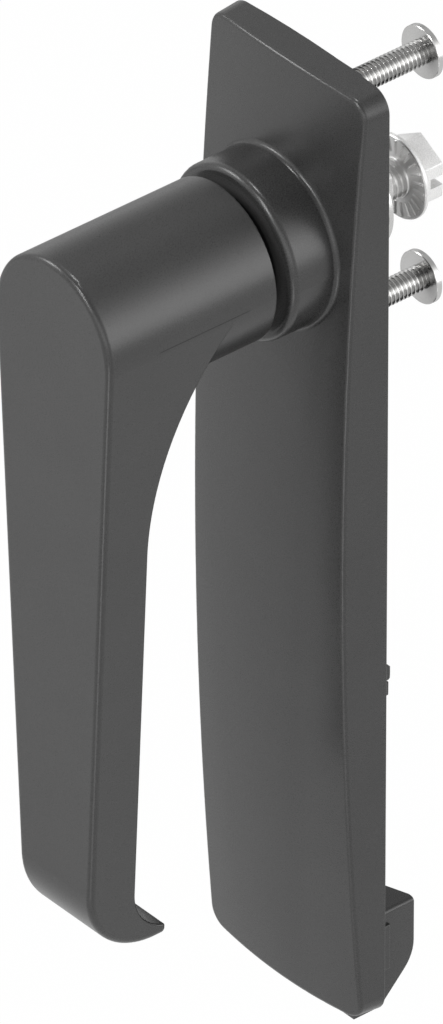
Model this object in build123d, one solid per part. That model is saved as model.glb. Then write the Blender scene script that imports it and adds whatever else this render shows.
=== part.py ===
from build123d import *
import os
from math import asin, ceil, cos, degrees, radians, sin, sqrt, tan

# Door lever on a backplate, in millimetres.
# X runs to the right, Y into the door and Z up.
# The origin is the spindle axis where it crosses the door face.

# Backplate outline and shell
plate_top = 40.2              # spindle axis to the top edge, on the centre line
plate_bottom = 176.0          # spindle axis to the bottom edge, on the centre line
plate_width = 46.25           # across the back edges
plate_draft = 4.8             # degrees on the side and end walls
end_arch_radius = 255.0       # bow of the top and bottom edges
plate_corner_radius = 4.7
side_depth = 10.4             # side wall depth at the middle of the length
bow_radius = 1180.0           # lengthwise bow of the front
crown_radius = 165.0          # crosswise crown of the front
front_edge_radius = 0.9
back_edge_radius = 0.3
side_wall = 2.8
face_wall = 3.0
rib_thickness = 1.8
rib_spacing = 19.0            # longest pitch of the cross ribs

# Collar and rear boss round the spindle
collar_radius = 18.4          # at the lip
collar_draft = 0.3            # degrees
collar_reach = 19.7           # door face to the collar's front face
collar_lip_radius = 1.5
collar_root_radius = 1.0
boss_radius = 11.0
boss_reach = 9.0

# Screw posts
post_spacing = 51.8
post_size = 9.3
post_corner_radius = 1.0
post_reach = 9.1
post_gusset = 1.8             # wall left round a post inside the shell

# Foot at the bottom end, which hooks behind the door sheet
foot_width = 38.6
foot_height = 22.2            # its bottom face up to its top face
foot_drop = 0.1               # below the plate's bottom edge
foot_reach = 10.4             # behind the door face, at the cheeks
foot_hollow = 2.5             # how far the middle stands back from the cheeks
foot_cheek = 1.6
foot_hollow_run = 7.5         # width of the curve from a cheek to the middle
foot_hollow_radius = 9.0
foot_toe = 4.8                # in front of the door face, along the bottom
foot_flat = 10.0              # upright part of the rear face
foot_heel_radius = 8.5
foot_slope = 44.0             # degrees from upright, below the heel
foot_edge_radius = 0.9        # along the top of each cheek
pad_height = 10.5             # locating pad on each side of the foot
pad_top_gap = 3.1
pad_depth = 3.95
pad_proud = 0.6
pad_edge_radius = 0.25

# Locating lugs behind the side walls
lug_drop = 97.4               # spindle axis to the upper lug
lug_pitch = 3.75
lug_width = 1.8
lug_heights = (3.3, 2.85)
lug_reaches = (4.4, 4.0)
lug_slopes = (0.8, 0.3)       # bevel of each lug's upper and lower rear edge
lug_bevel = 0.5               # bevel of the lugs' upright rear edges

# Spindle and its bearings
spindle_radius = 8.0
spindle_end = 15.2            # door face to the end of the square
square_size = 12.0            # across flats of the cam seat
square_start = 10.5
socket_flats = 13.0           # across the two flats inside the lever
socket_depth = 27.0           # how far the spindle sits inside the neck
running_clearance = 0.05
bush_wall = 1.45
bush_flange = 4.6             # how far the front bush's flange stands out
bush_flange_thickness = 1.5
rear_flange = 1.0
rear_flange_thickness = 1.2
bush_length = 11.0
side_play = 0.3               # gap between faces that turn past each other
seal_section = 1.1            # radius of the seal's section
seal_squeeze_gap = 0.35

# Retaining washer and snap ring
washer_radius = 10.7
washer_thickness = 1.1
ring_inner = 7.2
ring_outer = 8.9
ring_thickness = 1.0
ring_gap = 5.0
fit_gap = 0.03                # between parts that sit in each other and don't turn
cut_overrun = 1.0             # how far a cut runs past the surface that it opens
pick_tolerance = 0.01         # when edges and corners are picked by their place

# Lever
neck_radius = 17.0
neck_rear = 22.5              # door face to the neck's rear edge
lever_front = 64.0            # door face to the lever's front face
grip_thickness = 11.4
grip_taper = 2.86             # degrees on each side
grip_arc_start = 125.0        # spindle axis to the start of the bottom curl
curl_radius = 17.0
curl_inner_radius = 11.5
curl_lip = 2.6                # flat run of the lip past the curl
lip_thickness = 2.1
lip_radius = 0.95
web_radius = 65.5             # throat under the neck
web_start = 48.0              # spindle axis to the start of the throat
lever_front_radius = 1.3
lever_back_radius = 0.4
neck_edge_radius = 0.5
hub_radius = 11.0

# Cam bolt, M8 with a serrated flange and a slotted hexagon head
bolt_radius = 4.0
bolt_length = 25.0
bolt_tip_bevel = 1.0
bolt_seat = 20.8              # door face to the underside of the flange
flange_radius = 8.95
flange_rim = 1.4
hex_size = 13.0
hex_top = 27.5                # door face to the top of the head
hex_chamfer = 0.3
slot_width = 2.2
slot_depth = 3.1

# Fixing screws, M5, and the threaded inserts in the posts
screw_radius = 2.5
screw_length = 30.0
screw_tip_bevel = 0.6
screw_seat = 27.1             # door face to the underside of the heads
head_radius = 5.55
head_height = 1.3
head_round = 0.45
drive_size = 3.0              # across flats of the hexagon recess
drive_depth = 0.9
insert_wall = 0.75
insert_length = 9.0
screw_tip_room = 1.2

# Sizes that follow from the ones above
half_width = plate_width / 2
plate_length = plate_top + plate_bottom
plate_middle = (plate_top - plate_bottom) / 2
crown_rise = crown_radius - sqrt(crown_radius**2 - half_width**2)
full_depth = side_depth + crown_rise
foot_bottom = -plate_bottom - foot_drop
foot_top = foot_bottom + foot_height
bush_radius = spindle_radius + running_clearance + bush_wall
bore_radius = bush_radius + fit_gap
rear_bush_end = boss_reach + rear_flange_thickness
insert_radius = screw_radius + insert_wall
post_heights = (post_spacing / 2, -post_spacing / 2)


def plate_outline(inset):
    """Front view of the plate, drawn in by an even margin."""
    top = plate_top - inset
    bottom = plate_bottom - inset
    arch = end_arch_radius - inset
    sides = Pos(0, plate_middle) * Rectangle(plate_width - 2 * inset, 2 * plate_length)
    outline = sides & Pos(0, top - arch) * Circle(arch) & Pos(0, arch - bottom) * Circle(arch)
    return Plane.XZ * fillet(outline.vertices(), plate_corner_radius - inset)


def front_barrel(inset):
    """Solid behind the bowed and crowned front, moved back by a wall."""
    crown = Pos(0, crown_radius - full_depth + inset) * Circle(crown_radius)
    section = crown & Rectangle(2 * plate_width, 4 * full_depth)
    axis = Axis((0, bow_radius - side_depth, plate_middle), (1, 0, 0))
    half_turn = degrees(0.75 * plate_length / bow_radius)
    barrel = revolve(Pos(0, 0, plate_middle) * section, axis, 2 * half_turn)
    return barrel.rotate(axis, -half_turn)


def turned(*profile):
    """Solid turned about the spindle axis from radius and depth pairs."""
    return revolve(make_face(Polyline(*profile, close=True)), Axis.Y)


def axis_distance(point):
    """Distance of a point from the spindle axis."""
    return sqrt(point.X**2 + point.Z**2)


def shell_pockets():
    """Hollows in the back of the plate, between the ribs and round the bosses."""
    rim = side_wall + (side_depth - face_wall) * tan(radians(plate_draft))
    hollow = extrude(plate_outline(rim), full_depth) & front_barrel(face_wall)
    low = foot_top + side_wall
    high = plate_top - rim
    rows = ceil((high - low) / rib_spacing)
    pitch = (high - low + rib_thickness) / rows
    keep = Box(rib_thickness, 4 * full_depth, 2 * plate_length)
    for row in range(1, rows):
        height = low - rib_thickness / 2 + row * pitch
        keep += Pos(0, 0, height) * Box(plate_width, 4 * full_depth, rib_thickness)
    keep += Rot(90, 0, 0) * Cylinder(boss_radius + side_wall, 4 * full_depth)
    gusset = post_size + 2 * post_gusset
    for height in post_heights:
        keep += Pos(0, 0, height) * Box(gusset, 4 * full_depth, gusset)
    keep += Pos(0, 0, low - plate_length / 2) * Box(plate_width, 4 * full_depth, plate_length)
    return hollow - keep


def foot():
    """Foot block with hollow rear, sloped heel and locating pads."""
    half = foot_width / 2
    middle = foot_reach - foot_hollow
    inner = half - foot_cheek
    floor = inner - foot_hollow_run
    plan = make_face(Polyline(
        (-half, -foot_toe), (-half, foot_reach), (-inner, foot_reach), (-floor, middle),
        (floor, middle), (inner, foot_reach), (half, foot_reach), (half, -foot_toe), close=True))
    bends = plan.vertices().filter_by(lambda corner: abs(corner.Y - middle) < pick_tolerance)
    plan = fillet(bends, foot_hollow_radius)
    plan_block = extrude(Pos(0, 0, foot_bottom) * plan, foot_height)

    slope = radians(foot_slope)
    heel = foot_top - foot_flat
    bend_y = foot_reach - foot_heel_radius * (1 - cos(slope))
    bend_z = heel - foot_heel_radius * sin(slope)
    mid_y = foot_reach - foot_heel_radius * (1 - cos(slope / 2))
    mid_z = heel - foot_heel_radius * sin(slope / 2)
    run_y = bend_y - (bend_z - foot_bottom) * tan(slope)
    side = [
        Line((-foot_toe, foot_top), (foot_reach, foot_top)),
        Line((foot_reach, foot_top), (foot_reach, heel)),
        ThreePointArc((foot_reach, heel), (mid_y, mid_z), (bend_y, bend_z)),
        Line((bend_y, bend_z), (run_y, foot_bottom)),
        Line((run_y, foot_bottom), (-foot_toe, foot_bottom)),
        Line((-foot_toe, foot_bottom), (-foot_toe, foot_top)),
    ]
    profile = Plane.YZ * make_face(side)
    block = plan_block & extrude(profile, foot_width, both=True)
    cheeks = block.edges().filter_by(lambda edge: abs(edge.center().X) > half - pick_tolerance)
    tops = cheeks.filter_by(lambda edge: edge.center().Z > foot_top - pick_tolerance)
    block = fillet(tops, foot_edge_radius)
    pad_center = foot_top - pad_top_gap - pad_height / 2
    pads = Pos(0, pad_depth / 2, pad_center) * Box(foot_width + 2 * pad_proud, pad_depth, pad_height)
    outer = half + pad_proud - pick_tolerance
    rims = pads.edges().filter_by(lambda edge: abs(edge.center().X) > outer)
    rims = rims.filter_by(lambda edge: edge.center().Y > pick_tolerance)
    return block + fillet(rims, pad_edge_radius)


def lugs():
    """Two small locating lugs inside each side wall, in line with the foot's sides."""
    group = Part()
    outer = foot_width / 2
    root = half_width - side_wall / 2 - outer + lug_width
    for row, (height, reach, slope) in enumerate(zip(lug_heights, lug_reaches, lug_slopes)):
        tab = Pos(outer - lug_width / 2, reach / 2, 0) * Box(lug_width, reach, height)
        tab = chamfer(tab.edges().group_by(Axis.Y)[-1].filter_by(Axis.X), slope)
        tab = chamfer(tab.edges().group_by(Axis.Y)[-1].filter_by(Axis.Z), lug_bevel)
        tab += Pos(outer - lug_width + root / 2, -face_wall / 2, 0) * Box(root, face_wall, height)
        tab = Pos(0, 0, -lug_drop - row * lug_pitch) * tab
        group += tab + mirror(tab, Plane.YZ)
    return group


def backplate():
    """Plate moulded in one piece with its collar, posts, lugs and foot."""
    shell = extrude(plate_outline(0), full_depth + face_wall, taper=plate_draft) & front_barrel(0)
    front = shell.faces().sort_by(Axis.Y)[0]
    shell = fillet(front.edges(), front_edge_radius)
    back = shell.faces().sort_by(Axis.Y)[-1]
    shell = fillet(back.edges(), back_edge_radius)

    root = collar_radius + collar_reach * tan(radians(collar_draft))
    collar = turned((0, 0), (root, 0), (collar_radius, -collar_reach), (0, -collar_reach))
    lip = collar.edges().sort_by(Axis.Y)[0]
    collar = fillet(lip, collar_lip_radius)
    shell += collar
    rings = shell.edges().filter_by(lambda edge: axis_distance(edge @ 0.3) < root)
    seam = rings.filter_by(lambda edge: edge.length > 5 * collar_radius).sort_by(Axis.Y)[-1]
    shell = fillet(seam, collar_root_radius)

    shell -= shell_pockets()
    shell += foot() + lugs()
    shell += turned((0, -face_wall), (boss_radius, -face_wall), (boss_radius, boss_reach), (0, boss_reach))
    square = fillet(Rectangle(post_size, post_size).vertices(), post_corner_radius)
    tip = screw_seat - screw_length - screw_tip_room
    hole = insert_radius + fit_gap
    for height in post_heights:
        post = Plane.XZ * Pos(0, height) * square
        shell += Pos(0, post_reach, 0) * extrude(post, post_reach + face_wall)
        bore = Plane.XZ * Pos(0, height) * Circle(hole)
        shell -= Pos(0, post_reach, 0) * extrude(bore, post_reach - tip)

    flange = bush_radius + bush_flange + fit_gap
    step = -collar_reach + bush_flange_thickness
    shell -= turned(
        (0, boss_reach), (bore_radius, boss_reach), (bore_radius, step), (flange, step),
        (flange, -collar_reach), (0, -collar_reach))
    return shell


def front_bush():
    """Flanged plain bearing let into the collar's front face."""
    inner = spindle_radius + running_clearance
    flange = bush_radius + bush_flange
    front = -collar_reach
    step = front + bush_flange_thickness
    return turned(
        (inner, front), (flange, front), (flange, step), (bush_radius, step),
        (bush_radius, front + bush_length), (inner, front + bush_length))


def rear_bush():
    """Flanged plain bearing pushed into the rear boss."""
    inner = spindle_radius + running_clearance
    flange = bush_radius + rear_flange
    return turned(
        (inner, rear_bush_end), (flange, rear_bush_end), (flange, boss_reach), (bush_radius, boss_reach),
        (bush_radius, rear_bush_end - bush_length), (inner, rear_bush_end - bush_length))


def spindle():
    """Turned steel spindle with a milled square, a seal groove and a tapped end."""
    socket_end = -neck_rear - socket_depth
    hub_end = -collar_reach - side_play
    shaft = turned((0, hub_end), (spindle_radius, hub_end), (spindle_radius, spindle_end), (0, spindle_end))
    round_bar = Circle(spindle_radius)
    square = round_bar - Rectangle(square_size, square_size)
    shaft -= Pos(0, spindle_end, 0) * extrude(Plane.XZ * square, spindle_end - square_start)
    key = round_bar & Rectangle(socket_flats, 2 * spindle_radius)
    shaft += Pos(0, hub_end, 0) * extrude(Plane.XZ * key, hub_end - socket_end)
    clear = spindle_radius + cut_overrun
    groove_y = seal_center()
    width = seal_section + fit_gap
    depth = seal_middle() - seal_section - fit_gap
    shaft -= turned(
        (depth, groove_y - width), (clear, groove_y - width), (clear, groove_y + width),
        (depth, groove_y + width))
    ring_start = square_start + washer_thickness
    ring_end = ring_start + ring_thickness
    groove = ring_inner - fit_gap
    shaft -= turned(
        (groove, ring_start), (clear, ring_start), (clear, ring_end), (groove, ring_end))
    tapped = bolt_radius + fit_gap
    tap_end = bolt_seat - bolt_length - screw_tip_room
    shaft -= turned((0, spindle_end), (tapped, spindle_end), (tapped, tap_end), (0, tap_end - tapped / 2))
    return shaft


def seal_center():
    """Depth of the seal, halfway between the two bushes."""
    return (bush_length - collar_reach + rear_bush_end - bush_length) / 2


def seal_middle():
    """Radius of the seal ring, which stays just clear of the bore."""
    return bore_radius - seal_squeeze_gap - seal_section


def shaft_seal():
    """Rubber ring in the spindle's groove."""
    return revolve(Pos(seal_middle(), seal_center()) * Circle(seal_section), Axis.Y)


def retaining_washer():
    """Steel washer on the square, which keeps the lever in the plate."""
    hole = Circle(spindle_radius + fit_gap) & Rectangle(square_size + 2 * fit_gap, square_size + 2 * fit_gap)
    disc = Plane.XZ * (Circle(washer_radius) - hole)
    return Pos(0, square_start + washer_thickness, 0) * extrude(disc, washer_thickness)


def retaining_ring():
    """Snap ring in the corner grooves of the square."""
    gap = Pos(0, -ring_outer) * Rectangle(ring_gap, 2 * (ring_outer - ring_inner) + ring_outer)
    band = Plane.XZ * (Circle(ring_outer) - Circle(ring_inner) - gap)
    start = square_start + washer_thickness
    return Pos(0, start + ring_thickness, 0) * extrude(band, ring_thickness)


def side_edges(body, depth):
    """Long edges of the grip that run down its two sides at one depth."""
    level = body.edges().filter_by(lambda edge: abs(edge.center().Y - depth) < pick_tolerance)
    return level.filter_by(lambda edge: abs(edge.center().X) > neck_radius / 4)


def lever():
    """Lever cast in one piece: neck, throat, tapered grip and curled lip."""
    taper = radians(grip_taper)
    side_x = neck_radius * cos(taper)
    side_z = -neck_radius * sin(taper)
    low = -grip_arc_start - 2 * curl_radius
    foot_x = (neck_radius + low * sin(taper)) / cos(taper)
    blade = make_face(Polyline(
        (side_x, side_z), (foot_x, low), (-foot_x, low), (-side_x, side_z), close=True))
    outline = Plane.XZ * (blade + Circle(neck_radius))
    body = Pos(0, -neck_rear, 0) * extrude(outline, lever_front - neck_rear)

    front = -lever_front
    back = front + grip_thickness
    throat_y = back + web_radius
    top_y = throat_y - sqrt(web_radius**2 - web_start**2)
    throat_mid = asin(web_start / web_radius) / 2
    curl_y = front + curl_radius
    curl_z = -grip_arc_start - curl_radius
    lip_y = curl_y + curl_lip
    lip_top = curl_z + lip_thickness
    inner_drop = curl_inner_radius
    reach = lip_y - back
    inner_start = lip_top + sqrt(inner_drop**2 - (inner_drop - reach)**2)
    inner_y = back + inner_drop
    half_turn = radians(45)
    profile = [
        Line((front, 2 * neck_radius), (front, -grip_arc_start)),
        ThreePointArc(
            (front, -grip_arc_start),
            (curl_y - curl_radius * cos(half_turn), -grip_arc_start - curl_radius * sin(half_turn)),
            (curl_y, curl_z)),
        Line((curl_y, curl_z), (lip_y, curl_z)),
        Line((lip_y, curl_z), (lip_y, lip_top)),
        ThreePointArc(
            (lip_y, lip_top),
            (inner_y - inner_drop * cos(radians(30)), inner_start - inner_drop * sin(radians(30))),
            (back, inner_start)),
        Line((back, inner_start), (back, -web_start)),
        ThreePointArc(
            (back, -web_start),
            (throat_y - web_radius * cos(throat_mid), -web_start + web_radius * sin(throat_mid)),
            (top_y, 0)),
        Line((top_y, 0), (top_y, 2 * neck_radius)),
        Line((top_y, 2 * neck_radius), (front, 2 * neck_radius)),
    ]
    body &= extrude(Plane.YZ * make_face(profile), 2 * neck_radius, both=True)
    body = fillet(side_edges(body, front), lever_front_radius)
    across = body.edges().filter_by(Axis.X)
    tip = across.filter_by(lambda edge: abs(edge.center().Y - lip_y) < pick_tolerance)
    body = fillet(tip, lip_radius)
    body = fillet(side_edges(body, back), lever_back_radius)
    neck = turned((0, -neck_rear), (neck_radius, -neck_rear), (neck_radius, back), (0, back))
    body += fillet(neck.edges().sort_by(Axis.Y)[-1], neck_edge_radius)
    body += turned(
        (0, -collar_reach - side_play), (hub_radius, -collar_reach - side_play),
        (hub_radius, -neck_rear), (0, -neck_rear))
    key = Circle(spindle_radius + fit_gap) & Rectangle(socket_flats + 2 * fit_gap, 4 * spindle_radius)
    body -= extrude(Plane.XZ * key, neck_rear + socket_depth)
    return body


def cam_bolt():
    """Hexagon bolt with a flange and a driver slot, part way out of the spindle."""
    head = hex_top - bolt_seat
    tip = bolt_seat - bolt_length
    shank = bolt_radius
    bolt = turned(
        (0, tip), (shank - bolt_tip_bevel, tip), (shank, tip + bolt_tip_bevel), (shank, bolt_seat),
        (flange_radius, bolt_seat),
        (flange_radius, bolt_seat + flange_rim), (hex_size / 2, bolt_seat + 2 * flange_rim),
        (0, bolt_seat + 2 * flange_rim))
    hexagon = Plane.XZ * RegularPolygon(hex_size / 2, 6, major_radius=False, rotation=30)
    prism = Pos(0, hex_top, 0) * extrude(hexagon, head - flange_rim / 2)
    corner = hex_size / sqrt(3)
    crown = turned(
        (0, bolt_seat), (corner + cut_overrun, bolt_seat), (corner + cut_overrun, hex_top - hex_chamfer),
        (corner - hex_chamfer, hex_top), (0, hex_top))
    bolt += prism & crown
    slot = Pos(0, hex_top, 0) * Box(2 * hex_size, 2 * slot_depth, slot_width)
    return bolt - slot


def fixing_screws():
    """Two low-head machine screws, started in the posts."""
    tip = screw_seat - screw_length
    screw = turned(
        (0, tip), (screw_radius - screw_tip_bevel, tip), (screw_radius, tip + screw_tip_bevel),
        (screw_radius, screw_seat), (head_radius, screw_seat), (head_radius, screw_seat + head_height),
        (0, screw_seat + head_height))
    circles = screw.edges().filter_by(GeomType.CIRCLE)
    rims = circles.filter_by(lambda edge: edge.radius > head_radius - pick_tolerance)
    screw = fillet(rims, head_round)
    recess = Plane.XZ * RegularPolygon(drive_size / 2, 6, major_radius=False)
    screw -= Pos(0, screw_seat + head_height, 0) * extrude(recess, drive_depth)
    return [Pos(0, 0, height) * screw for height in post_heights]


def post_inserts():
    """Threaded brass inserts moulded into the two posts."""
    inner = screw_radius + fit_gap
    end = post_reach - insert_length
    insert = turned((inner, post_reach), (insert_radius, post_reach), (insert_radius, end), (inner, end))
    return [Pos(0, 0, height) * insert for height in post_heights]


pieces = {
    "backplate": backplate(),
    "front_bush": front_bush(),
    "rear_bush": rear_bush(),
    "post_inserts": Compound(post_inserts()),
    "fixing_screws": Compound(fixing_screws()),
    "lever": lever(),
    "spindle": spindle(),
    "shaft_seal": shaft_seal(),
    "retaining_washer": retaining_washer(),
    "retaining_ring": retaining_ring(),
    "cam_bolt": cam_bolt(),
}

os.makedirs("parts", exist_ok=True)
for name, piece in pieces.items():
    export_step(piece, f"parts/{name}.step")
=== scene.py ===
from math import cos, pi, radians, sin, sqrt

import bmesh
import bpy
from mathutils import Matrix, Vector


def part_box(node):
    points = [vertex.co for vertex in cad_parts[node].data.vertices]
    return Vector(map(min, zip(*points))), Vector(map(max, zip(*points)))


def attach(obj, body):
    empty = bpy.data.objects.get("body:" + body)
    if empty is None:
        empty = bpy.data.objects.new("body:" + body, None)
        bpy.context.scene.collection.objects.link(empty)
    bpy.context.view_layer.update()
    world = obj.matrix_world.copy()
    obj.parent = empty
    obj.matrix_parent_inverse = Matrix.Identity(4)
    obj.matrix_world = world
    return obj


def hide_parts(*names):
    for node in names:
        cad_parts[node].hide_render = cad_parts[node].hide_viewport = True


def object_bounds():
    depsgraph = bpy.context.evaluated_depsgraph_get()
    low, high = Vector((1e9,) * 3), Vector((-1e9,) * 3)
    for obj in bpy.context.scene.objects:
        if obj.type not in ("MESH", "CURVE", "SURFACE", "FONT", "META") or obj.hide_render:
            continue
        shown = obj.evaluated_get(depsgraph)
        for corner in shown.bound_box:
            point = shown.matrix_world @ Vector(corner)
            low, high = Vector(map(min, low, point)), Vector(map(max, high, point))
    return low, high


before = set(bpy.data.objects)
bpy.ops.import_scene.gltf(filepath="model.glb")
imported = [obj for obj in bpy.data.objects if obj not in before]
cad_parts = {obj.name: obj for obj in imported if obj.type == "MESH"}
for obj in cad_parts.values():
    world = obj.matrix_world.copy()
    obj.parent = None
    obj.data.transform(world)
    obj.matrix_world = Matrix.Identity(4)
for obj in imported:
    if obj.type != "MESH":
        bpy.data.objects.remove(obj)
cad_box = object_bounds()


# Backplate, moulded in one shot of glass-filled polyamide in dark grey.
# The mould is spark eroded, so every wall has the same fine matt grain.
# Two screws clamp it to the door, and its foot hooks into a cut-out.
class Wire:
    """One socket of a node tree: sums on it add Math nodes, and node() adds any other node."""

    def __init__(self, tree, socket=None):
        self.tree = tree
        self.socket = socket

    def node(self, kind, settings=None, inputs=None, output=0):
        made = self.tree.nodes.new(kind)
        for name, value in (settings or {}).items():
            setattr(made, name, value)
        for name, value in (inputs or {}).items():
            if isinstance(value, Wire):
                self.tree.links.new(value.socket, made.inputs[name])
            else:
                made.inputs[name].default_value = value
        return Wire(self.tree, made.outputs[output] if len(made.outputs) else None)

    def sum(self, operation, first, second):
        return self.node("ShaderNodeMath", {"operation": operation}, {0: first, 1: second})

    def __add__(self, other):
        return self.sum("ADD", self, other)

    def __radd__(self, other):
        return self.sum("ADD", other, self)

    def __sub__(self, other):
        return self.sum("SUBTRACT", self, other)

    def __rsub__(self, other):
        return self.sum("SUBTRACT", other, self)

    def __mul__(self, other):
        return self.sum("MULTIPLY", self, other)

    def __rmul__(self, other):
        return self.sum("MULTIPLY", other, self)


def empty_material(name):
    """A new material with a bare node tree, and the wire that adds nodes to it."""
    material = bpy.data.materials.new(name)
    material.use_nodes = True
    material.node_tree.nodes.clear()
    return material, Wire(material.node_tree)


def noise(start, scale, detail=2.0):
    """Value of a noise texture fixed to the object, whose scale is in cells per metre."""
    place = start.node("ShaderNodeTexCoord", output="Object")
    return start.node(
        "ShaderNodeTexNoise", {"normalize": True},
        {"Vector": place, "Scale": scale, "Detail": detail}, "Fac")


def close_material(start, shader):
    """Links the finished shader to the material's output."""
    start.node("ShaderNodeOutputMaterial", None, {"Surface": shader})


def blend(start, factor, first, second):
    """A colour between two others."""
    return start.node(
        "ShaderNodeMix", {"data_type": "RGBA"}, {"Factor": factor, "A": first, "B": second}, "Result")


def ramp(start, value, low, high):
    """Rises smoothly from nought to one between two values, or falls where the first is the larger."""
    return start.node(
        "ShaderNodeMapRange", {"interpolation_type": "SMOOTHSTEP"},
        {"Value": value, "From Min": low, "From Max": high, "To Min": 0.0, "To Max": 1.0}, "Result")


def axes(start):
    """The three coordinates of a place on the object."""
    place = start.node("ShaderNodeTexCoord", output="Object")
    return [start.node("ShaderNodeSeparateXYZ", None, {"Vector": place}, axis) for axis in "XYZ"]


def grained(name, dark, light, roughness, marked, mark_colour, shade_without_gloss):
    """Matt dark finish with a fine grain of two close greys, and a mark of painted light or painted shade,
    which takes no gloss where it is shade.
    """
    grain_scale = 6700.0
    grain_contrast = 1.8
    cloud_scale = 60.0
    cloud_contrast = 0.25
    grain_depth = 0.0000065
    roughness_spread = 0.12
    material, start = empty_material(name)
    grain = noise(start, grain_scale, 1.0) - 0.5
    cloud = noise(start, cloud_scale) - 0.5
    tone = 0.5 + grain * grain_contrast + cloud * cloud_contrast
    colour = blend(start, tone, (*dark, 1.0), (*light, 1.0))
    mark = marked(start)
    colour = blend(start, mark, colour, (*mark_colour, 1.0))
    bump = start.node(
        "ShaderNodeBump", None, {"Strength": 1.0, "Distance": grain_depth, "Height": grain})
    shader = start.node("ShaderNodeBsdfPrincipled", None, {
        "Base Color": colour, "Metallic": mark if shade_without_gloss else 0.0,
        "Roughness": roughness + grain * roughness_spread, "Normal": bump})
    close_material(start, shader)
    return material


def dress(node, material):
    """Gives a solid of the frame its finish."""
    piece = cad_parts[node]
    piece.data.materials.clear()
    piece.data.materials.append(material)


def axis_distance(start):
    """How far a place is from the spindle axis."""
    x, _, z = axes(start)
    return start.sum("POWER", x * x + z * z, 0.5)


def painted_light_ring(start):
    """Painted light: lighter grey on the collar's front face round the bush, in the shade under the
    lever's hub.
    """
    ring_inner = 0.0145
    ring_outer = 0.0172
    ring_front = -0.0195
    front_depth = 0.0001
    on_ring = ramp(start, axis_distance(start), ring_outer, ring_inner)
    return on_ring * ramp(start, axes(start)[1], ring_front, ring_front - front_depth)


graphite_dark = (0.011, 0.01095, 0.0109)
graphite_light = (0.041, 0.0409, 0.0407)
polyamide_matt = 0.28
# Painted light: the grey that lifts the shaded faces round the bushes.
painted_light_grey = (0.065, 0.0648, 0.0646)
dress("backplate", grained(
    "spark_grained_polyamide", graphite_dark, graphite_light, polyamide_matt, painted_light_ring, painted_light_grey,
    shade_without_gloss=False))

# Bearing bushes, injection moulded in black acetal.
# They are pressed into the collar and the rear boss and carry the spindle.
# Painted light makes the front flange grey towards its rim, in the shade under the lever's hub.
bush_light_radius = 0.0132
bush_light_edge = 0.0001
acetal_black = (0.012, 0.012, 0.013)
flow_scale = 400.0
acetal, start = empty_material("black_acetal")
flow_lines = noise(start, flow_scale)
# Painted light: the bushes turn grey beyond this radius.
bush_painted_light = ramp(start, axis_distance(start), bush_light_radius, bush_light_radius + bush_light_edge)
close_material(start, start.node("ShaderNodeBsdfPrincipled", None, {
    "Base Color": blend(start, bush_painted_light, (*acetal_black, 1.0), (*painted_light_grey, 1.0)),
    "Roughness": 0.30 + flow_lines * 0.1}))
dress("front_bush", acetal)
dress("rear_bush", acetal)

# Threaded inserts, turned from brass bar.
# They are moulded into the two posts and take the fixing screws.
brass_yellow = (0.60, 0.43, 0.18)
cut_scale = 3000.0
brass, start = empty_material("turned_brass")
cut_marks = noise(start, cut_scale)
close_material(start, start.node("ShaderNodeBsdfPrincipled", None, {
    "Base Color": (*brass_yellow, 1.0), "Metallic": 1.0, "Roughness": 0.22 + cut_marks * 0.15}))
dress("post_inserts", brass)


# Fixing screws, cold headed and thread rolled in steel, bright zinc plated.
# They start in the brass inserts and are tightened once the plate is on the door.
def plated(name, colour, roughness):
    """Zinc plating with a fine crystal speckle in its colour and gloss."""
    speckle_scale = 4000.0
    speckle_detail = 3.0
    speckle_shade = 0.90
    gloss_spread = 0.04
    dull = [part * speckle_shade for part in colour]
    material, start = empty_material(name)
    crystals = noise(start, speckle_scale, speckle_detail) - 0.5
    tint = blend(start, crystals + 0.5, (*dull, 1.0), (*colour, 1.0))
    shader = start.node("ShaderNodeBsdfPrincipled", None, {
        "Base Color": tint, "Metallic": 1.0, "Roughness": roughness + crystals * gloss_spread})
    close_material(start, shader)
    return material


def spun(profile, steps):
    """A closed skin turned about the spindle axis from radius and depth pairs."""
    mesh = bmesh.new()
    corners = [mesh.verts.new((radius, depth, 0.0)) for radius, depth in profile]
    edges = [mesh.edges.new(pair) for pair in zip(corners, corners[1:])]
    bmesh.ops.spin(
        mesh, geom=corners + edges, cent=(0, 0, 0), axis=(0, 1, 0), angle=2 * pi, steps=steps,
        use_merge=True)
    bmesh.ops.remove_doubles(mesh, verts=mesh.verts[:], dist=1e-6)
    return mesh


def threaded_rod(crest, root, pitch, low, high, steps):
    """A rod with a true helical thread from one depth to another, with flat ends."""
    mesh = bmesh.new()
    turns = int((high - low) / pitch) + 3
    first = low - 1.5 * pitch
    form = [(root, 0.0), (root, 0.16), (crest, 0.44), (crest, 0.60), (root, 0.88), (root, 1.0)]
    corners = [mesh.verts.new((radius, first + share * pitch, 0.0)) for radius, share in form]
    edges = [mesh.edges.new(pair) for pair in zip(corners, corners[1:])]
    bmesh.ops.spin(
        mesh, geom=corners + edges, cent=(0, 0, 0), axis=(0, 1, 0), dvec=(0, pitch / steps, 0),
        angle=2 * pi * turns, steps=steps * turns)
    bmesh.ops.remove_doubles(mesh, verts=mesh.verts[:], dist=1e-6)
    for depth, outward in ((low, -1), (high, 1)):
        parts = mesh.verts[:] + mesh.edges[:] + mesh.faces[:]
        bmesh.ops.bisect_plane(
            mesh, geom=parts, dist=1e-7, plane_co=(0, depth, 0), plane_no=(0, outward, 0),
            clear_outer=True)
    rims = [edge for edge in mesh.edges if edge.is_boundary]
    bmesh.ops.holes_fill(mesh, edges=rims, sides=0)
    return mesh


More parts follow.
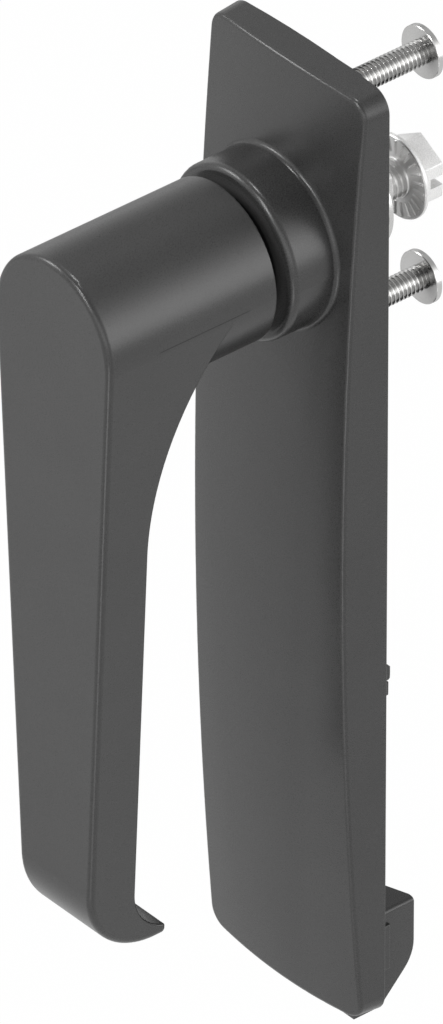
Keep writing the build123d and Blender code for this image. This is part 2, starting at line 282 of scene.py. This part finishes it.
def hexagon(flats, low, high):
    """A hexagonal prism along the spindle axis, with a corner at the top."""
    mesh = bmesh.new()
    radius = flats / sqrt(3)
    bmesh.ops.create_cone(
        mesh, cap_ends=True, segments=6, radius1=radius, radius2=radius, depth=high - low)
    bmesh.ops.rotate(mesh, verts=mesh.verts[:], cent=(0, 0, 0), matrix=Matrix.Rotation(pi / 2, 3, "X"))
    bmesh.ops.translate(mesh, verts=mesh.verts[:], vec=(0, (low + high) / 2, 0))
    return mesh


def data_of(mesh):
    """Turns a finished solid into mesh data, with its faces pointing outwards."""
    bmesh.ops.recalc_face_normals(mesh, faces=mesh.faces[:])
    data = bpy.data.meshes.new("solid")
    mesh.to_mesh(data)
    mesh.free()
    return data


def without(blank, cutter):
    """The first solid with the second cut out of it."""
    holders = [bpy.data.objects.new("solid", data_of(mesh)) for mesh in (blank, cutter)]
    for holder in holders:
        bpy.context.scene.collection.objects.link(holder)
    knife = holders[0].modifiers.new("knife", "BOOLEAN")
    knife.object = holders[1]
    knife.solver = "EXACT"
    graph = bpy.context.evaluated_depsgraph_get()
    cut_data = bpy.data.meshes.new_from_object(holders[0].evaluated_get(graph))
    for holder in holders:
        data = holder.data
        bpy.data.objects.remove(holder)
        bpy.data.meshes.remove(data)
    mesh = bmesh.new()
    mesh.from_mesh(cut_data)
    bpy.data.meshes.remove(cut_data)
    return mesh


def gathered(*solids):
    """One mesh that holds several solids."""
    mesh = bmesh.new()
    for solid in solids:
        data = data_of(solid)
        mesh.from_mesh(data)
        bpy.data.meshes.remove(data)
    return mesh


def finished(name, mesh, material, body, smooth_angle=35.0):
    """Makes the piece from its mesh, smooths its round faces and rides it on its body."""
    data = bpy.data.meshes.new(name)
    mesh.to_mesh(data)
    mesh.free()
    piece = bpy.data.objects.new(name, data)
    bpy.context.scene.collection.objects.link(piece)
    data.materials.append(material)
    data.shade_smooth()
    data.set_sharp_from_angle(angle=radians(smooth_angle))
    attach(piece, body)
    return piece


screw_low, screw_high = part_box("fixing_screws")
head_radius = screw_high.x
head_height = 0.0013
head_seat = screw_high.y - head_height
head_edge = 0.00012
screw_pitch = 0.0010
screw_crest = 0.00264
screw_root = 0.00208
neck_radius = 0.0031
drive_flats = 0.003
drive_depth = 0.0009
screw_spread = (screw_high.z - screw_low.z) / 2 - head_radius


def fixing_screw(height):
    """One screw at its height above the spindle axis."""
    shank = threaded_rod(
        screw_crest, screw_root, screw_pitch, screw_low.y, head_seat + head_edge, steps=32)
    head = spun([
        (0.0, head_seat - head_edge), (screw_root, head_seat - head_edge), (neck_radius, head_seat),
        (head_radius - head_edge, head_seat), (head_radius, head_seat + head_edge),
        (head_radius, screw_high.y - head_edge), (head_radius - head_edge, screw_high.y),
        (0.0, screw_high.y)], steps=72)
    drive = hexagon(drive_flats, screw_high.y - drive_depth, screw_high.y + head_height)
    screw = gathered(shank, without(head, drive))
    bmesh.ops.translate(screw, verts=screw.verts[:], vec=(0, 0, height))
    return screw


screw_zinc = plated("bright_zinc_screws", (0.54, 0.538, 0.532), 0.23)
screw_pair = gathered(fixing_screw(screw_spread), fixing_screw(-screw_spread))
screws = finished("threaded_screws", screw_pair, screw_zinc, "plate")
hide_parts("fixing_screws")

# Lever, a zinc die casting with a fine-texture powder coat.
# Neck, throat, grip and lip are one casting, fixed on the spindle's flats.
def crease_shade_line(start):
    """Painted shade: a black hairline without gloss along both sides of the neck, standing for the shade
    in the crease there.
    """
    line_half = 0.00011
    line_side = 0.0165
    line_rear, line_front = -0.0284, -0.0520
    x, y, z = axes(start)
    height = start.sum("ABSOLUTE", z, 0.0)
    aside = start.sum("ABSOLUTE", x, 0.0)
    rear_fade = ramp(start, y, line_rear, line_rear - 0.002)
    front_fade = ramp(start, y, line_front, line_front + 0.001)
    on_side = ramp(start, aside, line_side - 0.0002, line_side)
    return ramp(start, height, line_half, 0.0) * on_side * rear_fade * front_fade


powder_matt = 0.29
# Painted shade: the black of the hairline in the crease along the neck's sides.
crease_shade_black = (0.004, 0.004, 0.004)
dress("lever", grained(
    "fine_powder_coat", graphite_dark, graphite_light, powder_matt, crease_shade_line, crease_shade_black, shade_without_gloss=True))

# Spindle, washer and snap ring, machined and stamped in zinc-plated steel.
# The spindle turns in the bushes, and the washer and ring keep it in.
steel_zinc = plated("bright_zinc_steel", (0.58, 0.578, 0.572), 0.27)
dress("spindle", steel_zinc)
dress("retaining_washer", steel_zinc)
dress("retaining_ring", steel_zinc)

# Shaft seal, a moulded rubber ring.
# It sits in the spindle's groove between the two bushes and keeps water out.
rubber_black = (0.012, 0.012, 0.012)
bloom_scale = 700.0
rubber, start = empty_material("seal_rubber")
bloom = noise(start, bloom_scale)
close_material(start, start.node("ShaderNodeBsdfPrincipled", None, {
    "Base Color": (*rubber_black, 1.0), "Roughness": 0.55 + bloom * 0.2}))
dress("shaft_seal", rubber)

# Cam bolt, cold headed with a flange and radial teeth under it, zinc plated matt.
# It clamps the lock's cam on the square and is shown part way out.
bolt_low, bolt_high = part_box("cam_bolt")
bolt_pitch = 0.00125
bolt_crest = 0.0040
bolt_root = 0.0033
flange_radius = bolt_high.x
flange_seat = 0.0208
flange_rim = 0.0014
flange_edge = 0.00025
hex_flats = 0.013
hex_edge = 0.0002
slot_width = 0.0022
slot_depth = 0.0031
tooth_count = 24
tooth_height = 0.00034
tooth_inner = 0.0054
tooth_outer = 0.0083
tooth_half = 0.00024
tooth_edge = 0.00006
tooth_base = flange_seat + tooth_height
fillet_radius = 0.0004

shank = threaded_rod(bolt_crest, bolt_root, bolt_pitch, bolt_low.y, tooth_base, steps=40)
underhead = [
    (bolt_crest + fillet_radius * (1 - cos(turn)), tooth_base - fillet_radius * (1 - sin(turn)))
    for turn in (radians(15.0 * step) for step in range(7))]
flange = spun(
    [(0.0, tooth_base - fillet_radius)] + underhead + [
        (flange_radius - flange_edge, tooth_base), (flange_radius, tooth_base + flange_edge),
        (flange_radius, flange_seat + flange_rim - flange_edge),
        (flange_radius - flange_edge, flange_seat + flange_rim),
        (hex_flats / 2, flange_seat + 2 * flange_rim), (0.0, flange_seat + 2 * flange_rim)], steps=96)

teeth = bmesh.new()
section = [
    teeth.verts.new((tooth_inner, tooth_base + flange_edge, -tooth_half)),
    teeth.verts.new((tooth_inner, tooth_base + flange_edge, tooth_half)),
    teeth.verts.new((tooth_inner, tooth_base, tooth_half)),
    teeth.verts.new((tooth_inner, flange_seat + tooth_edge, 0.0)),
    teeth.verts.new((tooth_inner, tooth_base, -tooth_half)),
]
far = bmesh.ops.extrude_face_region(teeth, geom=[teeth.faces.new(section)])["geom"]
far_corners = [part for part in far if isinstance(part, bmesh.types.BMVert)]
bmesh.ops.translate(teeth, verts=far_corners, vec=(tooth_outer - tooth_inner, 0, 0))
bmesh.ops.scale(teeth, verts=far_corners, vec=(1, 1, tooth_outer / tooth_inner))
crests = [edge for edge in teeth.edges if all(end.co.y < tooth_base - tooth_edge for end in edge.verts)]
bmesh.ops.bevel(
    teeth, geom=crests, offset=tooth_edge, affect="EDGES", segments=2, profile=0.5, material=-1)
bmesh.ops.spin(
    teeth, geom=teeth.verts[:] + teeth.edges[:] + teeth.faces[:], cent=(0, 0, 0), axis=(0, 1, 0),
    angle=2 * pi * (tooth_count - 1) / tooth_count, steps=tooth_count - 1, use_duplicate=True)

head = hexagon(hex_flats, flange_seat + flange_rim, bolt_high.y)
bmesh.ops.bevel(
    head, geom=head.edges[:], offset=hex_edge, affect="EDGES", segments=2, profile=0.5, material=-1)
driver_slot = bmesh.new()
bmesh.ops.create_cube(driver_slot, size=1.0)
bmesh.ops.scale(driver_slot, verts=driver_slot.verts[:], vec=(2 * hex_flats, 2 * slot_depth, slot_width))
bmesh.ops.translate(driver_slot, verts=driver_slot.verts[:], vec=(0, bolt_high.y, 0))

# The head and the rim keep the matt crystals, and the thread and the teeth are rolled smooth.
matt_zinc = (0.90, 0.895, 0.89)
matt_speckle = (0.66, 0.657, 0.652)
rolled_zinc = (0.70, 0.698, 0.692)
crystal_scale = 4000.0
crystal_detail = 3.0
crystal_contrast = 2.0
bolt_zinc, start = empty_material("matt_zinc_bolt")
crystals = noise(start, crystal_scale, crystal_detail) * crystal_contrast - (crystal_contrast - 1.0) / 2
matt_tint = blend(start, crystals, (*matt_speckle, 1.0), (*matt_zinc, 1.0))
rolled = ramp(start, axes(start)[1], tooth_base + flange_edge, tooth_base + flange_edge / 2)
close_material(start, start.node("ShaderNodeBsdfPrincipled", None, {
    "Base Color": blend(start, rolled, matt_tint, (*rolled_zinc, 1.0)),
    "Metallic": 0.3 + rolled * 0.4, "Roughness": 0.40 - rolled * 0.14 + (crystals - 0.5) * 0.03}))
bolt_solid = gathered(shank, flange, teeth, without(head, driver_slot))
bolt = finished("flanged_cam_bolt", bolt_solid, bolt_zinc, "lever")
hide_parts("cam_bolt")

# Floor, a wide pale sheet well below the part.
# It shows white to the camera and to polished metal, and still takes a shadow.
# Painted shade makes it greyer to mirrors behind the part on the left, and near the part in front.
floor_drop = 0.6
floor_half = 6.0
paper_grey = 0.62
camera_white = 0.99
mirror_white = 0.92
mirror_grey = 0.05
# Painted shade: how much greyer mirrors see the sheet near the part in front.
near_painted_shade = 0.40
sheet = bmesh.new()
bmesh.ops.create_grid(sheet, x_segments=1, y_segments=1, size=floor_half)
bmesh.ops.translate(sheet, verts=sheet.verts[:], vec=(0, 0, cad_box[0].z - floor_drop))
floor_data = bpy.data.meshes.new("floor")
sheet.to_mesh(floor_data)
sheet.free()
floor = bpy.data.objects.new("floor", floor_data)
bpy.context.scene.collection.objects.link(floor)
pale, start = empty_material("pale_floor")


def seen_ray(start):
    """One where a ray comes from the camera, a mirror or a glass."""
    rays = start.node("ShaderNodeLightPath", output="Is Camera Ray")
    source = rays.socket.node
    glossy = Wire(start.tree, source.outputs["Is Glossy Ray"])
    clear = Wire(start.tree, source.outputs["Is Transmission Ray"])
    return start.sum("MAXIMUM", start.sum("MAXIMUM", rays, glossy), clear)


paper = start.node("ShaderNodeBsdfDiffuse", None, {"Color": (paper_grey, paper_grey, paper_grey, 1.0)})
glow = start.node("ShaderNodeEmission", None, {"Color": (1.0, 1.0, 1.0, 1.0), "Strength": 1.0})
x, y, _ = axes(start)
forward = x * 0.6 + y * -0.8
reach = x * -0.76 + y * -0.65
near = ramp(start, reach, 0.3, 0.6) * ramp(start, reach, 1.15, 0.85)
shade = mirror_grey + ramp(start, forward, -1.0, -0.2) * (mirror_white - near * near_painted_shade)
from_camera = start.node("ShaderNodeLightPath", output="Is Camera Ray")
whiteness = start.sum("MAXIMUM", from_camera * camera_white, seen_ray(start) * shade)
close_material(start, start.node("ShaderNodeMixShader", None, {0: whiteness, 1: paper, 2: glow}))
floor_data.materials.append(pale)

# Studio, a row of soft boxes round the horizon and a few high ones on the left.
# The camera sees plain white behind the part, and the part mirrors the boxes and a white horizon.
# Each box has its azimuth from the front towards the right, its elevation and its radiance.
studio_level = 0.06
box_sharpness = 11.5
soft_boxes = [
    (135.0, 7.0, 4.6), (75.0, 7.0, 0.9), (45.0, 7.0, 2.0), (15.0, 7.0, 0.9), (-45.0, 7.0, 1.3),
    (-105.0, 7.0, 1.1), (-60.0, 32.0, 0.4), (-100.0, 32.0, 0.35), (100.0, 32.0, 0.4),
    (-165.0, 40.0, 0.35), (-108.0, 60.0, 0.7), (-36.0, 60.0, 0.3), (108.0, 60.0, 0.2),
    (165.0, 52.0, 0.3)]


def pointing(azimuth, elevation):
    """Direction from the part, with the azimuth counted from the front towards the right."""
    turn, rise = radians(azimuth), radians(elevation)
    return Vector((sin(turn) * cos(rise), -cos(turn) * cos(rise), sin(rise)))


world = bpy.data.worlds.new("studio")
world.use_nodes = True
world.node_tree.nodes.clear()
start = Wire(world.node_tree)
outward = start.node("ShaderNodeTexCoord", output="Generated")
level = studio_level
for azimuth, elevation, radiance in soft_boxes:
    facing = start.node(
        "ShaderNodeVectorMath", {"operation": "DOT_PRODUCT"},
        {0: outward, 1: pointing(azimuth, elevation)}, "Value")
    falloff = start.node("ShaderNodeMath", {"operation": "EXPONENT"}, {0: (facing - 1.0) * box_sharpness})
    level = level + falloff * radiance
rise = start.node("ShaderNodeSeparateXYZ", None, {"Vector": outward}, "Z")
white_horizon = ramp(start, rise, 0.10, -0.05)
level = start.sum("MAXIMUM", level, seen_ray(start) * white_horizon)
lit = start.node("ShaderNodeBackground", None, {"Color": level, "Strength": 1.0})
plain_white = start.node("ShaderNodeBackground", None, {"Color": (1.0, 1.0, 1.0, 1.0), "Strength": 1.0})
from_camera = start.node("ShaderNodeLightPath", output="Is Camera Ray")
both = start.node("ShaderNodeMixShader", None, {0: from_camera, 1: lit, 2: plain_white})
start.node("ShaderNodeOutputWorld", None, {"Surface": both})
bpy.context.scene.world = world


def panel(name, direction, distance, width, height, radiance):
    """Soft light that faces the part from a direction."""
    lamp = bpy.data.lights.new(name, "AREA")
    lamp.shape = "RECTANGLE"
    lamp.size = width
    lamp.size_y = height
    lamp.energy = radiance * pi * width * height
    holder = bpy.data.objects.new(name, lamp)
    bpy.context.scene.collection.objects.link(holder)
    away = Vector(direction).normalized()
    middle = Vector((0.0, -0.02, -0.05))
    holder.location = middle + away * distance
    holder.rotation_euler = away.to_track_quat("Z", "Y").to_euler()


panel("front_strip", (0.05, -0.80, 0.60), 1.3, 0.12, 0.75, 24.0)
panel("top_lamp", (-0.12, 0.09, 0.99), 1.3, 0.14, 0.14, 60.0)
panel("left_lamp", (-0.63, -0.55, 0.55), 1.3, 0.36, 0.36, 12.0)
panel("low_lamp", (0.45, -0.72, -0.53), 1.1, 0.22, 0.22, 5.0)

# Camera, far off with a long lens, so that the view is nearly parallel.
# It looks from the right and from above, as the photo does.
azimuth = radians(50.01)
elevation = radians(34.78)
distance = 4.0035
aim_right = -0.01699
aim_up = -0.05623
lens_length = 740.0
sight = 20.0
back = Vector((sin(azimuth) * cos(elevation), -cos(azimuth) * cos(elevation), sin(elevation)))
right = Vector((cos(azimuth), sin(azimuth), 0.0))
up = back.cross(right)
lens = bpy.data.cameras.new("long_lens")
lens.lens = lens_length
lens.clip_end = sight
camera = bpy.data.objects.new("camera", lens)
bpy.context.scene.collection.objects.link(camera)
camera.location = back * distance + right * aim_right + up * aim_up
camera.rotation_euler = back.to_track_quat("Z", "Y").to_euler()
bpy.context.scene.camera = camera
bpy.context.scene.view_settings.view_transform = "Standard"
